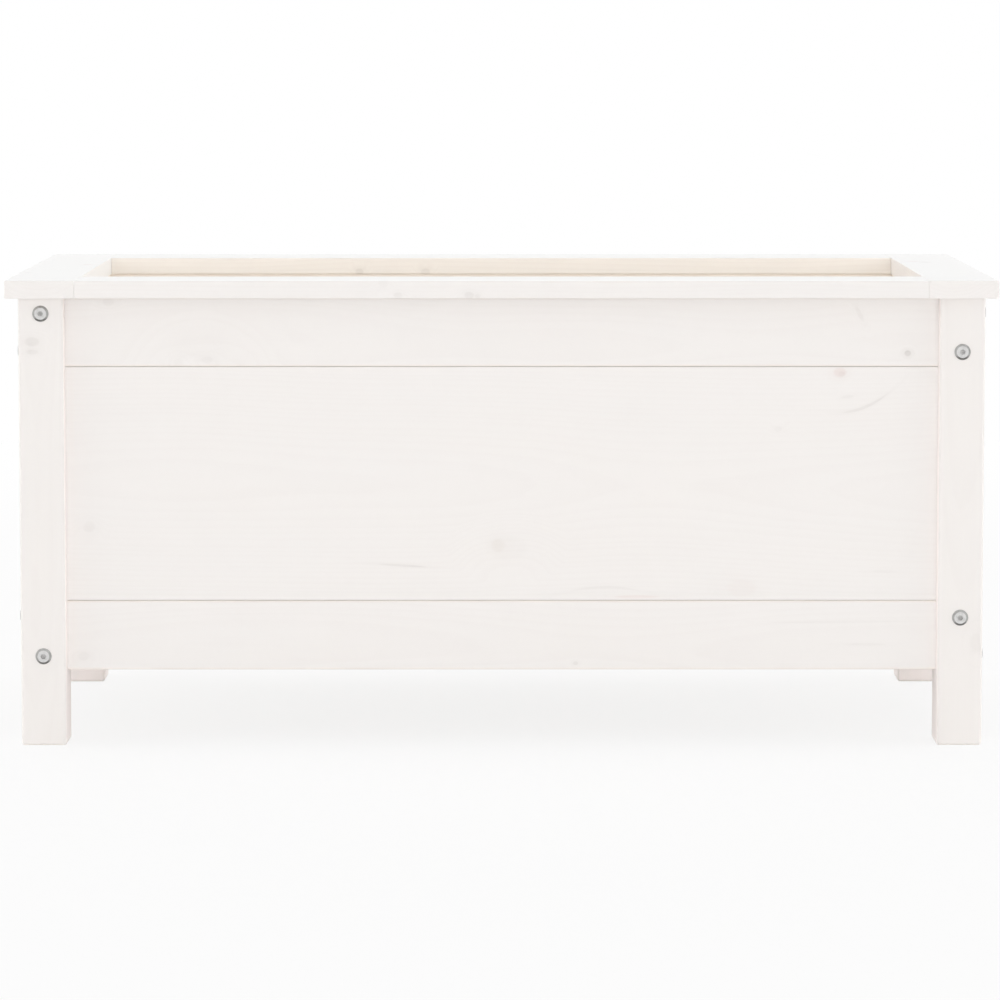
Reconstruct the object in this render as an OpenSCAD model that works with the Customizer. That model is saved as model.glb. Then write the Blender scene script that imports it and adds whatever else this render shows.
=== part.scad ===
// Versailles planter: a panelled pine trough on four square legs, under a flat rim.
// X runs along the width, the front faces -Y and Z is up. The origin is on the
// ground under the middle of the trough, and every size is in millimetres.

/* [Trough] */
// Width over the legs
body_w = 805; // [600:5:1200]
// Depth over the legs
body_d = 370; // [300:5:600]
// Gap between the ground and the walls
foot_gap = 62.5; // [30:0.5:150]

/* [Legs] */
// Side of the square legs
leg_s = 38; // [35:1:60]
// Rounding of the legs' edges and feet
leg_round = 2.5; // [0.5:0.5:6]

/* [Walls] */
// Thickness of the rails and panels
board_t = 16; // [14:0.5:19]
// Setback of the walls from the legs' outer faces
wall_inset = 11; // [4:0.5:14]
// Height of the top rails
top_rail_h = 58; // [50:0.5:90]
// Height of the bottom rails
bottom_rail_h = 58.5; // [50:0.5:90]
// Height of the panels' faces, between the rails
panel_h = 196.6; // [100:0.2:400]
// Open seam between a panel's face and each rail
seam_gap = 0.2; // [0.1:0.1:2]
// Rounding of the boards' long edges
board_round = 0.6; // [0.2:0.1:3]
// Thickness of the tongues on the panels' top and bottom edges
tongue_t = 6; // [4:0.5:8]
// Reach of a tongue beyond the panel's face
tongue_l = 6; // [3:0.5:7]

/* [Rim] */
// Width of the rim boards
rim_w = 58; // [55:1:90]
// Thickness of the rim boards
rim_t = 15; // [13:0.5:25]
// Overhang of the rim beyond the legs
rim_overhang = 10; // [0:0.5:15]
// Rounding of the rim's edges
rim_round = 1.5; // [0.5:0.1:4]

/* [Floor] */
// Width of a floor slat
slat_w = 58; // [40:1:100]
// Thickness of a floor slat
slat_t = 12; // [8:0.5:18]
// Least drainage gap between slats
slat_gap = 4; // [2:0.5:15]
// Side of the square battens under the slats and under the rim
batten_s = 20; // [16:1:26]
// Height of the slats' battens above the bottom rails' lower edges
batten_rise = 19.5; // [0:0.5:30]

/* [Connector bolts] */
// Diameter of a bolt's shank
bolt_d = 6; // [5:0.5:7]
// Diameter of a bolt's head
bolt_head_d = 13.4; // [11:0.2:17]
// Diameter of the flat face of a bolt's head, inside its bevel
bolt_face_d = 9.8; // [7:0.2:10.8]
// Height of a bolt's head
bolt_head_h = 1.8; // [1:0.1:3]
// Hex socket of a bolt, across flats
bolt_hex = 4; // [3:0.5:5]
// Depth of the hex socket
bolt_hex_depth = 2.6; // [1:0.1:4]
// Distance of the bolts and dowels from a rail's edges
bolt_edge = 13; // [12:0.5:16]
// Diameter of a barrel nut
nut_d = 10; // [9:0.5:11]
// Length of a barrel nut
nut_l = 12; // [9:0.5:13]
// Distance of a barrel nut from the rail's end
nut_set = 27; // [22:1:40]

/* [Dowels] */
// Diameter of the dowels in the rails' ends
dowel_d = 8; // [6:0.5:9]
// Depth of those dowels in the rails
dowel_in_rail = 18; // [10:1:30]
// Wood left between a dowel and the bolt that crosses behind it
dowel_web = 3.75; // [2:0.25:8]
// Diameter of the dowels in the rim's joints
rim_dowel_d = 6; // [5:0.5:8]
// Length of the dowels in the rim's joints
rim_dowel_l = 30; // [20:1:50]
// Distance between the two dowels of a rim joint
rim_dowel_pitch = 28; // [16:1:34]

/* [Screws] */
// Diameter of the screws' shanks
screw_d = 3.5; // [2.5:0.5:4.5]
// Diameter of the screws' heads
screw_head_d = 7; // [6:0.5:9]
// Height of a round head
screw_head_h = 2.2; // [1.5:0.1:3]
// Length of a slat screw
slat_screw_l = 26; // [20:1:28]
// Length of a screw through a slats' batten, under its head
batten_screw_l = 32; // [28:1:34]
// Reach of the screws through a rim batten into the rail and the rim
rim_screw_grip = 8; // [5:0.5:10]
// Distance of the outer rim screws from a rim batten's ends
rim_screw_set = 40; // [30:1:50]

/* [Clearances] */
// Slack of a bolt in its bores, on the diameter
bolt_clear = 0.5; // [0.1:0.1:1]
// Slack of a barrel nut in its bore, on the diameter
nut_clear = 0.2; // [0.1:0.1:0.6]
// Slack of a dowel in its holes, on the diameter
dowel_clear = 0.2; // [0.1:0.1:0.6]
// Slack of a screw in its hole and of a bolt in its nut, on the diameter
screw_clear = 0.2; // [0.1:0.1:0.6]
// Slack of a tongue in its groove, on the thickness
tongue_clear = 0.4; // [0.2:0.1:1]
// Room for a panel to swell above its top tongue
tongue_room = 1; // [0.5:0.1:2]
// Room beyond the end of a bolt, dowel or screw
end_room = 1; // [0.5:0.1:2]
// Play around the floor and at the battens' ends
floor_play = 1; // [0.5:0.1:3]

/* [Hidden] */
$fn = 48;
side_name = ["front", "right", "back", "left"];
corner_name = ["front_left", "front_right", "back_right", "back_left"];
left = -1; // a wall's left end, as seen from outside
right = 1; // its right end
bottom = 0; // the lower rail of a wall
top = 1; // its upper rail
over = 1; // a cut starts this far outside the wood

leg_h = foot_gap + bottom_rail_h + seam_gap + panel_h + seam_gap + top_rail_h;
panel_z = foot_gap + bottom_rail_h + seam_gap;
wall_y = wall_inset + board_t / 2; // middle of a wall, from the legs' outer faces
inner_y = wall_inset + board_t; // inner face of a wall, from the same place
cavity_w = body_w - 2 * inner_y;
cavity_d = body_d - 2 * inner_y;
leg_stub = leg_s - inner_y; // how far a leg stands into the cavity

bolt_l = leg_s + nut_set + nut_d / 2;
bolt_tip = 1; // chamfer at a bolt's end
bolt_head_edge = 0.5; // straight edge of a bolt's head, under its bevel
nut_depth = (board_t + nut_l) / 2; // far end of a barrel nut, from the rail's inner face
nut_slot = 1.2; // slot that turns the nut in line with its bolt
dowel_in_leg = leg_s - wall_y - (bolt_d + bolt_clear) / 2 - dowel_web;
dowel_tip = 1; // chamfer at a dowel's ends

rim_l = body_w + 2 * rim_overhang;
rim_d = body_d + 2 * rim_overhang;

floor_z = foot_gap + batten_rise + batten_s;
floor_w = cavity_w - 2 * floor_play;
floor_d = cavity_d - 2 * floor_play;
slat_n = floor((floor_w + slat_gap) / (slat_w + slat_gap));
slat_pitch = (floor_w - slat_w) / (slat_n - 1);
slat_round = 1;
batten_screw_step = 4; // a batten screw stands under every fourth slat gap
rim_screw_l = batten_s + rim_screw_grip;
screw_point = 3; // length of a screw's point
screw_sink = (screw_head_d - screw_d) / 2; // depth of a flat head's cone
crown_d = 3.5; // flat top of a round head
crown_edge = 0.7; // straight edge of a round head
cross_w = 0.9; // width of a slot in the cross of a screw's head
cross_l = 4; // length of the slot
cross_depth = 1.2;

pine_white = [0.95, 0.94, 0.93];
pine_bare = [0.90, 0.82, 0.71];
beech = [0.80, 0.66, 0.48];
zinc = [0.70, 0.71, 0.72];

// Walls are numbered 0 front, 1 right, 2 back and 3 left. Leg 0 stands at the left
// end of wall 0 as seen from outside, and so on round the trough.
function is_long(side) = side % 2 == 0;
function wall_l(side) = (is_long(side) ? body_w : body_d) - 2 * leg_s;
function rail_z(rail) = rail == top ? leg_h - top_rail_h : foot_gap;
function rail_h(rail) = rail == top ? top_rail_h : bottom_rail_h;
function outer_z(rail) = rail == top ? leg_h - bolt_edge : foot_gap + bolt_edge;
function inner_z(rail) = rail == top ? rail_z(top) + bolt_edge : foot_gap + bottom_rail_h - bolt_edge;

// The bolts of neighbouring walls cross in a leg at different heights, so a wall has
// its bolts near the rails' inner edges on the left and near their outer edges on the right.
function bolt_z(rail, end) = end == left ? inner_z(rail) : outer_z(rail);
function dowel_z(rail, end) = end == left ? outer_z(rail) : inner_z(rail);

function rim_board_l(side) = is_long(side) ? rim_l - 2 * rim_w : rim_d;
function batten_l(side) = (is_long(side) ? wall_l(side) : cavity_d - 2 * batten_s) - 2 * floor_play;
function slat_x(slat) = -floor_w / 2 + slat_w / 2 + (slat - 1) * slat_pitch;
function batten_screw_x(side) = is_long(side)
    ? [for (slat = [2:batten_screw_step:slat_n - 1]) slat_x(slat) + slat_pitch / 2]
    : [-batten_l(side) / 4, batten_l(side) / 4];
function rim_screw_x(side) = is_long(side)
    ? [for (share = [-3, -1, 1, 3] / 3) share * (batten_l(side) / 2 - rim_screw_set)]
    : [for (end = [left, right]) end * (batten_l(side) / 2 - rim_screw_set)];
function batten_z(rail) = (rail == top ? leg_h : floor_z) - batten_s;
function batten_screw_hole(rail) = (rail == top ? rim_screw_l : batten_screw_l) + end_room;

// A rectangle from the origin with round corners
module soft_rect(w, h, r) {
    translate([r, 0]) square([w - 2 * r, h]);
    translate([0, r]) square([w, h - 2 * r]);
    for (x = [r, w - r], y = [r, h - r]) {
        translate([x, y]) circle(r = r);
    }
}

// A block from the origin with its edges rounded. A square top leaves the upper end sharp.
module soft_block(size, r, square_top = false) {
    tall = size.z + (square_top ? r : 0);
    intersection() {
        linear_extrude(size.z) soft_rect(size.x, size.y, r);
        translate([0, size.y, 0]) rotate([90, 0, 0]) linear_extrude(size.y) soft_rect(size.x, tall, r);
        rotate([90, 0, 90]) linear_extrude(size.x) soft_rect(size.y, tall, r);
    }
}

// Runs an outline in Y and Z along X, centred on X = 0
module along_x(l) {
    translate([-l / 2, 0, 0]) rotate([90, 0, 90]) linear_extrude(l) children();
}

// A wall's own frame: X along the wall to the right as seen from outside, Y inwards
// from the legs' outer faces, and Z up from the ground.
module at_wall(side) {
    half = (is_long(side) ? body_d : body_w) / 2;
    rotate([0, 0, 90 * side]) translate([0, -half, 0]) children();
}

// On a leg's outer face, with Z along a bolt into the wall
module at_bolt(side, rail, end) {
    at_wall(side) translate([end * (wall_l(side) / 2 + leg_s), wall_y, bolt_z(rail, end)])
        rotate([0, -90 * end, 0]) children();
}

// On a wall's inner face, with Z along a barrel nut into the rail
module at_nut(side, rail, end) {
    at_wall(side) translate([end * (wall_l(side) / 2 - nut_set), inner_y, bolt_z(rail, end)])
        rotate([90, 0, 0]) children();
}

// On a rail's end, with Z along a dowel into the rail
module at_dowel(side, rail, end) {
    at_wall(side) translate([end * wall_l(side) / 2, wall_y, dowel_z(rail, end)])
        rotate([0, -90 * end, 0]) children();
}

// In a rim joint, with Z along a dowel into the front or back rim board
module at_rim_dowel(side, end, row) {
    y = rim_w / 2 - rim_overhang + row * rim_dowel_pitch / 2;
    at_wall(side) translate([end * rim_board_l(side) / 2, y, leg_h + rim_t / 2])
        rotate([0, -90 * end, 0]) children();
}

// On a batten's inner face, with Z out of it and away from the rail
module at_batten_screws(side, rail) {
    for (x = batten_screw_x(side)) {
        at_wall(side) translate([x, inner_y + batten_s, batten_z(rail) + batten_s / 2])
            rotate([-90, 0, 0]) children();
    }
}

// On a rim batten's underside, with Z down and away from the rim
module at_rim_screws(side) {
    for (x = rim_screw_x(side)) {
        at_wall(side) translate([x, inner_y + batten_s / 2, batten_z(top)]) rotate([180, 0, 0]) children();
    }
}

// On top of a slat over a batten's middle, at both ends of the slat
module at_slat_screws(slat) {
    for (y = [-1, 1] * (cavity_d - batten_s) / 2) {
        translate([slat_x(slat), y, floor_z + slat_t]) children();
    }
}

module bore(d, from, to) {
    translate([0, 0, from]) cylinder(d = d, h = to - from);
}

module screw_bore(from, to) {
    bore(screw_d + screw_clear, from, to);
}

module bolt_bore() {
    bore(bolt_d + bolt_clear, -over, bolt_l + end_room);
}

module leg_dowel_bore() {
    bore(dowel_d + dowel_clear, -dowel_in_leg, over);
}

// The cone of a flat head at the top, and the shank's hole under it
module sunk_bore(l) {
    screw_bore(-l - end_room, over);
    rotate_extrude() polygon([
        [0, over], [screw_head_d / 2, over], [screw_head_d / 2, 0],
        [screw_d / 2, -screw_sink], [0, -screw_sink]
    ]);
}

module leg(corner) {
    before = (corner + 3) % 4;
    color(pine_white) difference() {
        at_wall(corner) translate([-wall_l(corner) / 2 - leg_s, 0, 0])
            soft_block([leg_s, leg_s, leg_h], leg_round, square_top = true);
        for (rail = [bottom, top]) {
            at_bolt(corner, rail, left) bolt_bore();
            at_bolt(before, rail, right) bolt_bore();
            at_dowel(corner, rail, left) leg_dowel_bore();
            at_dowel(before, rail, right) leg_dowel_bore();
        }
    }
}

// Outline of a rail in its wall's Y and Z, with the panel's groove in its inner edge
module rail_outline(rail) {
    groove = tongue_l - seam_gap + (rail == top ? tongue_room : 0);
    groove_z = rail == top ? rail_z(top) - over : panel_z - seam_gap - groove;
    groove_t = tongue_t + tongue_clear;
    difference() {
        translate([wall_inset, rail_z(rail)]) soft_rect(board_t, rail_h(rail), board_round);
        translate([wall_y - groove_t / 2, groove_z]) square([groove_t, groove + over]);
    }
}

module rail_board(side, rail) {
    color(pine_white) difference() {
        at_wall(side) along_x(wall_l(side)) rail_outline(rail);
        for (end = [left, right]) {
            at_bolt(side, rail, end) bolt_bore();
            at_nut(side, rail, end) bore(nut_d + nut_clear, -over, nut_depth);
            at_dowel(side, rail, end) bore(dowel_d + dowel_clear, -over, dowel_in_rail + end_room);
        }
        at_batten_screws(side, rail) screw_bore(-batten_screw_hole(rail), over);
    }
}

module panel(side) {
    color(pine_white) at_wall(side) along_x(wall_l(side)) {
        translate([wall_inset, panel_z]) soft_rect(board_t, panel_h, board_round);
        translate([wall_y - tongue_t / 2, panel_z - tongue_l]) square([tongue_t, panel_h + 2 * tongue_l]);
    }
}

// The front and back boards hold half of each dowel tightly, and the side boards
// hold the other half with room beyond its end.
module rim_board(side) {
    l = rim_board_l(side);
    half = rim_dowel_l / 2;
    from = is_long(side) ? -over : -half - end_room;
    to = is_long(side) ? half : over;
    color(pine_white) difference() {
        at_wall(side) translate([-l / 2, -rim_overhang, leg_h]) soft_block([l, rim_w, rim_t], rim_round);
        at_rim_screws(side) screw_bore(-rim_screw_l - end_room, over);
        for (board = [0, 2], end = [left, right], row = [-1, 1]) {
            at_rim_dowel(board, end, row) bore(rim_dowel_d + dowel_clear, from, to);
        }
    }
}

module batten_strip(side, rail) {
    at_wall(side) along_x(batten_l(side)) translate([inner_y, batten_z(rail)])
        soft_rect(batten_s, batten_s, board_round);
}

// Holds the rim from below, level with its inner edge
module rim_batten(side) {
    color(pine_bare) difference() {
        batten_strip(side, top);
        at_batten_screws(side, top) sunk_bore(rim_screw_l);
        at_rim_screws(side) sunk_bore(rim_screw_l);
    }
}

// Carries the slats
module batten(side) {
    color(pine_bare) difference() {
        batten_strip(side, bottom);
        at_batten_screws(side, bottom) screw_bore(-batten_s - over, over);
        if (is_long(side)) {
            for (slat = [1:slat_n]) {
                at_slat_screws(slat) sunk_bore(slat_screw_l);
            }
        }
    }
}

// The outermost slats are notched round the legs
module floor_slat(slat) {
    notch = leg_stub + floor_play;
    color(pine_bare) difference() {
        translate([slat_x(slat), 0, floor_z]) rotate([0, 0, 90]) along_x(floor_d)
            translate([-slat_w / 2, 0]) soft_rect(slat_w, slat_t, slat_round);
        at_slat_screws(slat) sunk_bore(slat_screw_l);
        for (x = [0, 1], y = [0, 1]) {
            mirror([x, 0, 0]) mirror([0, y, 0])
                translate([cavity_w / 2 - notch, cavity_d / 2 - notch, floor_z - over])
                cube([notch + over, notch + over, slat_t + 2 * over]);
        }
    }
}

// Head outside the leg, shank along Z
module connector_bolt() {
    head_r = bolt_head_d / 2;
    shank_r = bolt_d / 2;
    difference() {
        rotate_extrude() polygon([
            [0, -bolt_head_h], [bolt_face_d / 2, -bolt_head_h], [head_r, -bolt_head_edge],
            [head_r, 0], [shank_r, 0], [shank_r, bolt_l - bolt_tip], [shank_r - bolt_tip, bolt_l], [0, bolt_l]
        ]);
        translate([0, 0, -bolt_head_h - over])
            cylinder(d = bolt_hex / cos(30), h = bolt_hex_depth + over, $fn = 6);
    }
}

// Slotted end at the rail's inner face, with the bolt's thread across its middle
module barrel_nut() {
    across = nut_d / 2 + over;
    difference() {
        bore(nut_d, nut_depth - nut_l, nut_depth);
        translate([0, 0, board_t / 2]) rotate([0, 90, 0]) bore(bolt_d + screw_clear, -across, across);
        translate([-across, -nut_slot / 2, nut_depth - nut_l - over])
            cube([2 * across, nut_slot, nut_slot + over]);
    }
}

module dowel(d, from, to) {
    rotate_extrude() polygon([
        [0, from], [d / 2 - dowel_tip, from], [d / 2, from + dowel_tip],
        [d / 2, to - dowel_tip], [d / 2 - dowel_tip, to], [0, to]
    ]);
}

module head_cross() {
    for (turn = [0, 90]) {
        rotate([0, 0, turn]) translate([-cross_l / 2, -cross_w / 2, -cross_depth])
            cube([cross_l, cross_w, cross_depth + over]);
    }
}

// A flat head level with Z = 0, shank downwards
module flat_screw(l) {
    difference() {
        rotate_extrude() polygon([
            [0, 0], [screw_head_d / 2, 0], [screw_d / 2, -screw_sink], [screw_d / 2, screw_point - l], [0, -l]
        ]);
        head_cross();
    }
}

// A round head standing on Z = 0, shank downwards
module round_screw(l) {
    difference() {
        rotate_extrude() polygon([
            [0, screw_head_h], [crown_d / 2, screw_head_h], [screw_head_d / 2, crown_edge],
            [screw_head_d / 2, 0], [screw_d / 2, 0], [screw_d / 2, screw_point - l], [0, -l]
        ]);
        translate([0, 0, screw_head_h]) head_cross();
    }
}

module connector_bolts() {
    color(zinc) for (side = [0:3], rail = [bottom, top], end = [left, right]) {
        at_bolt(side, rail, end) connector_bolt();
    }
}

module barrel_nuts() {
    color(zinc) for (side = [0:3], rail = [bottom, top], end = [left, right]) {
        at_nut(side, rail, end) barrel_nut();
    }
}

module rail_dowels() {
    color(beech) for (side = [0:3], rail = [bottom, top], end = [left, right]) {
        at_dowel(side, rail, end) dowel(dowel_d, -dowel_in_leg, dowel_in_rail);
    }
}

module rim_dowels() {
    color(beech) for (board = [0, 2], end = [left, right], row = [-1, 1]) {
        at_rim_dowel(board, end, row) dowel(rim_dowel_d, -rim_dowel_l / 2, rim_dowel_l / 2);
    }
}

module rim_batten_screws() {
    color(zinc) for (side = [0:3]) {
        at_batten_screws(side, top) flat_screw(rim_screw_l);
        at_rim_screws(side) flat_screw(rim_screw_l);
    }
}

module batten_screws() {
    color(zinc) for (side = [0:3]) {
        at_batten_screws(side, bottom) round_screw(batten_screw_l);
    }
}

module slat_screws() {
    color(zinc) for (slat = [1:slat_n]) {
        at_slat_screws(slat) flat_screw(slat_screw_l);
    }
}

for (i = [0:3]) leg(i);
for (i = [0:3]) rail_board(i, top);
for (i = [0:3]) panel(i);
for (i = [0:3]) rail_board(i, bottom);
for (i = [0:3]) rim_board(i);
for (i = [0:3]) rim_batten(i);
for (i = [0:3]) batten(i);
for (i = [1:slat_n]) floor_slat(i);
connector_bolts();
barrel_nuts();
rail_dowels();
rim_dowels();
rim_batten_screws();
batten_screws();
slat_screws();
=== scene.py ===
"""A panelled pine planter trough on four legs, dressed for its picture.

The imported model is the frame. Every piece here takes its place from a node of it,
or from the joinery sizes below, and stays inside its box. Lengths are in metres,
X runs along the width, the front faces -Y and Z is up.
"""

import logging
import math
import random
from collections.abc import Callable, Iterator
from contextlib import contextmanager
from dataclasses import dataclass
from enum import Enum

import bmesh
import bpy
from mathutils import Matrix, Vector


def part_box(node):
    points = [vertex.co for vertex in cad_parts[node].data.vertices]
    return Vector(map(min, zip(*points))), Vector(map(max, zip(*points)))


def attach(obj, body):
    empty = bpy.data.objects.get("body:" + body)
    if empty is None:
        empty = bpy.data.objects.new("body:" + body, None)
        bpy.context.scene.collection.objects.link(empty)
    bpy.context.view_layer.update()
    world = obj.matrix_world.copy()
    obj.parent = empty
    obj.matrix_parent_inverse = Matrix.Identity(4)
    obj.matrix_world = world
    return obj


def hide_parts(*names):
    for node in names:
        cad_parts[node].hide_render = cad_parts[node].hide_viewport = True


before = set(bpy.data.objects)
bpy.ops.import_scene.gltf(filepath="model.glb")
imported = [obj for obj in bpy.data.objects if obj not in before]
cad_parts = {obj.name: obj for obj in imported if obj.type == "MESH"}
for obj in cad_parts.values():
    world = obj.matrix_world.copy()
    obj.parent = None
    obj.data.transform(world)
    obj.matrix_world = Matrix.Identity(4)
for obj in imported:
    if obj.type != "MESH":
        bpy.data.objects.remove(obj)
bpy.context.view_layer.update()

LOG = logging.getLogger("planter")
MM = 0.001
# Places closer than this count as the same.
TINY = 0.1 * MM
BODY = "root"
COVER = "stain_cover"
# How bright each face of the zinc is; on the bolts it holds painted reflection and shade.
FACE_SHINE = "face_shine"
WHITE = (1.0, 1.0, 1.0, 1.0)
UP = Vector((0, 0, 1))
DOWN = Vector((0, 0, -1))

Colour = tuple[float, float, float, float]
PlaceTest = Callable[[Vector, Vector], bool]


def seen(red: float, green: float, blue: float) -> Colour:
    """Turns a colour as it is seen on screen into the linear one that a shader takes.

    Args:
        red: Red, 0 to 255.
        green: Green, 0 to 255.
        blue: Blue, 0 to 255.

    Returns:
        The linear colour with full alpha.
    """
    def linear(level: float) -> float:
        """Undoes the screen's curve for one channel."""
        share = level / 255
        return share / 12.92 if share <= 0.04045 else ((share + 0.055) / 1.055) ** 2.4

    return (linear(red), linear(green), linear(blue), 1.0)


def turned(degrees: float, axis: str) -> Matrix:
    """A frame turned about one of its axes."""
    return Matrix.Rotation(math.radians(degrees), 4, axis)


def shifted(x: float, y: float, z: float) -> Matrix:
    """A frame moved to a place."""
    return Matrix.Translation((x, y, z))


def along_grain(grain: Vector) -> PlaceTest:
    """A test that picks the edges along a direction."""
    return lambda middle, direction: abs(direction.dot(grain)) > 0.99


def facing(way: Vector, share: float = 0.9) -> PlaceTest:
    """A test that picks the faces that look along a direction."""
    return lambda middle, normal: normal.dot(way) > share


# --- Shader sheets ---


class Signal:
    """One number on a shader socket, used in Python sums that add their Math nodes."""

    def __init__(self, sheet: "NodeSheet", socket: bpy.types.NodeSocket) -> None:
        """Wraps one of a sheet's output sockets."""
        self.sheet = sheet
        self.socket = socket

    def maths(self, operation: str, *operands: "Signal | float") -> "Signal":
        """The result of one new Math node."""
        return self.sheet.signal("ShaderNodeMath", {"operation": operation}, dict(enumerate(operands)))

    def __add__(self, other: "Signal | float") -> "Signal":
        """Sum."""
        return self.maths("ADD", self, other)

    def __sub__(self, other: "Signal | float") -> "Signal":
        """Difference."""
        return self.maths("SUBTRACT", self, other)

    def __rsub__(self, other: float) -> "Signal":
        """Difference from a plain number."""
        return self.maths("SUBTRACT", other, self)

    def __mul__(self, other: "Signal | float") -> "Signal":
        """Product."""
        return self.maths("MULTIPLY", self, other)

    def __truediv__(self, other: "Signal | float") -> "Signal":
        """Quotient."""
        return self.maths("DIVIDE", self, other)

    def __abs__(self) -> "Signal":
        """Distance from zero."""
        return self.maths("ABSOLUTE", self)

    def root(self) -> "Signal":
        """Square root."""
        return self.maths("SQRT", self)

    def fraction(self) -> "Signal":
        """Part after the decimal point."""
        return self.maths("FRACT", self)

    def most(self, limit: float) -> "Signal":
        """The signal, but never over a limit."""
        return self.maths("MINIMUM", self, limit)

    def ease(self, start: float, end: float) -> "Signal":
        """A smooth step, 0 at start and 1 at end, which may lie below start."""
        span = {"Value": self, "From Min": start, "From Max": end}
        return self.sheet.signal("ShaderNodeMapRange", {"interpolation_type": "SMOOTHSTEP"}, span)


class NodeSheet:
    """The node tree of one finish."""

    def __init__(self, tree: bpy.types.NodeTree) -> None:
        """Takes a material's or a world's tree and empties it."""
        self.tree = tree
        tree.nodes.clear()

    def add(
        self,
        kind: str,
        settings: dict[str, object] | None = None,
        sockets: dict[str | int, object] | None = None,
    ) -> bpy.types.Node:
        """Adds any node.

        Args:
            kind: The node's type.
            settings: Its own settings, set before its sockets.
            sockets: A value, a signal or an output socket for each input named.

        Returns:
            The new node.
        """
        node = self.tree.nodes.new(kind)
        for name, value in (settings or {}).items():
            setattr(node, name, value)
        for key, value in (sockets or {}).items():
            link = value.socket if isinstance(value, Signal) else value
            if isinstance(link, bpy.types.NodeSocket):
                self.tree.links.new(link, node.inputs[key])
            else:
                node.inputs[key].default_value = link
        return node

    def signal(
        self,
        kind: str,
        settings: dict[str, object] | None = None,
        sockets: dict[str | int, object] | None = None,
        result: str | int = 0,
    ) -> Signal:
        """Adds any node, as add does, and takes one of its results."""
        return Signal(self, self.add(kind, settings, sockets).outputs[result])

    def parts(self, vector: bpy.types.NodeSocket) -> tuple[Signal, Signal, Signal]:
        """A vector as three signals."""
        node = self.add("ShaderNodeSeparateXYZ", None, {0: vector})
        return tuple(Signal(self, output) for output in node.outputs)

    def place(self) -> tuple[Signal, Signal, Signal]:
        """Object coordinates as three signals."""
        return self.parts(self.add("ShaderNodeTexCoord").outputs["Object"])

    def painted(self, name: str) -> Signal:
        """The value of the piece's own painted attribute."""
        return self.signal("ShaderNodeAttribute", {"attribute_name": name}, None, "Fac")

    def noise(
        self,
        x: Signal | float,
        y: Signal | float,
        z: Signal | float,
        detail: float = 2.0,
    ) -> Signal:
        """Smooth noise with a cell of about one unit.

        Args:
            x: First coordinate.
            y: Second coordinate.
            z: Third coordinate.
            detail: How many finer layers it has.

        Returns:
            A signal from 0 to 1, about 0.5 in the mean.
        """
        spot = self.add("ShaderNodeCombineXYZ", None, {0: x, 1: y, 2: z}).outputs[0]
        inputs = {"Vector": spot, "Scale": 1.0, "Detail": detail, "Roughness": 0.5}
        return self.signal("ShaderNodeTexNoise", None, inputs)

    def blend(
        self,
        share: Signal | float,
        first: Colour | bpy.types.NodeSocket,
        second: Colour | bpy.types.NodeSocket,
    ) -> bpy.types.NodeSocket:
        """Mixes two colours, of which the first shows at a share of 0 and the second at 1."""
        settings = {"data_type": "RGBA", "clamp_factor": True}
        return self.add("ShaderNodeMix", settings, {0: share, 6: first, 7: second}).outputs[2]

    def bump(self, height: Signal, depth: float) -> bpy.types.NodeSocket:
        """Turns a height from 0 to 1 into the normal of a surface with that depth in metres."""
        sockets = {"Strength": 1.0, "Distance": depth, "Height": height}
        return self.add("ShaderNodeBump", None, sockets).outputs["Normal"]

    def close(self, sockets: dict[str, object]) -> None:
        """Ends a material in one Principled shader with these inputs."""
        shader = self.add("ShaderNodeBsdfPrincipled", None, sockets)
        self.add("ShaderNodeOutputMaterial", None, {"Surface": shader.outputs[0]})


def fresh_material(name: str) -> tuple[bpy.types.Material, NodeSheet]:
    """Makes an empty node material.

    Args:
        name: The material's name.

    Returns:
        The material and its sheet.
    """
    material = bpy.data.materials.new(name)
    material.use_nodes = True
    return material, NodeSheet(material.node_tree)


# --- Finishes ---


class MarkTone(Enum):
    """What a mark in the wood is, as the colour that it shows."""

    KNOT = seen(128, 114, 103)
    RESIN = seen(196, 128, 110)
    GUM = seen(176, 146, 100)


@dataclass(frozen=True)
class Mark:
    """A knot or a streak in a board, in millimetres from the board's centre.

    Attributes:
        along: Place along the grain.
        across: Place across the board's width.
        length: Half its length.
        width: Half its width.
        strength: How much of it shows through the stain, 0 to 1.
        tone: Its colour.
        rise: Slope of a streak against the grain.
        bow: How far a streak's ends stand above its middle.
        deep: Place through the thickness, for a mark on an edge.
        reach: Half its size through the thickness, or 0 for right through.
    """

    along: float
    across: float
    length: float
    width: float
    strength: float
    tone: MarkTone = MarkTone.KNOT
    rise: float = 0.0
    bow: float = 0.0
    deep: float = 0.0
    reach: float = 0.0

    @property
    def is_knot(self) -> bool:
        """Whether the rings bend round it, as they do round a knot but not a streak."""
        return self.tone is MarkTone.KNOT and self.bow == 0.0 and self.length < 3 * self.width


@dataclass(frozen=True)
class BoardFrame:
    """Where a board lies and how it is cut: the grain runs along its longest side.

    Attributes:
        low: Lowest corner.
        high: Highest corner.
        axes: World axes along, across and through the board.
    """

    low: Vector
    high: Vector
    axes: tuple[int, int, int]

    @classmethod
    def of(cls, node: str) -> "BoardFrame":
        """Reads a board's frame off its node.

        Args:
            node: The node's name.

        Returns:
            The frame, with the longest side first.
        """
        low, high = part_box(node)
        axes = sorted(range(3), key=lambda axis: -round(high[axis] - low[axis], 5))
        return cls(low, high, tuple(axes))

    @property
    def centre(self) -> Vector:
        """Middle of the board."""
        return (self.low + self.high) / 2

    @property
    def grain(self) -> Vector:
        """The world direction along the board."""
        return Vector([1.0 if axis == self.axes[0] else 0.0 for axis in range(3)])

    def half(self, which: int) -> float:
        """Half the board's size along one of its own axes."""
        axis = self.axes[which]
        return (self.high[axis] - self.low[axis]) / 2


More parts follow.
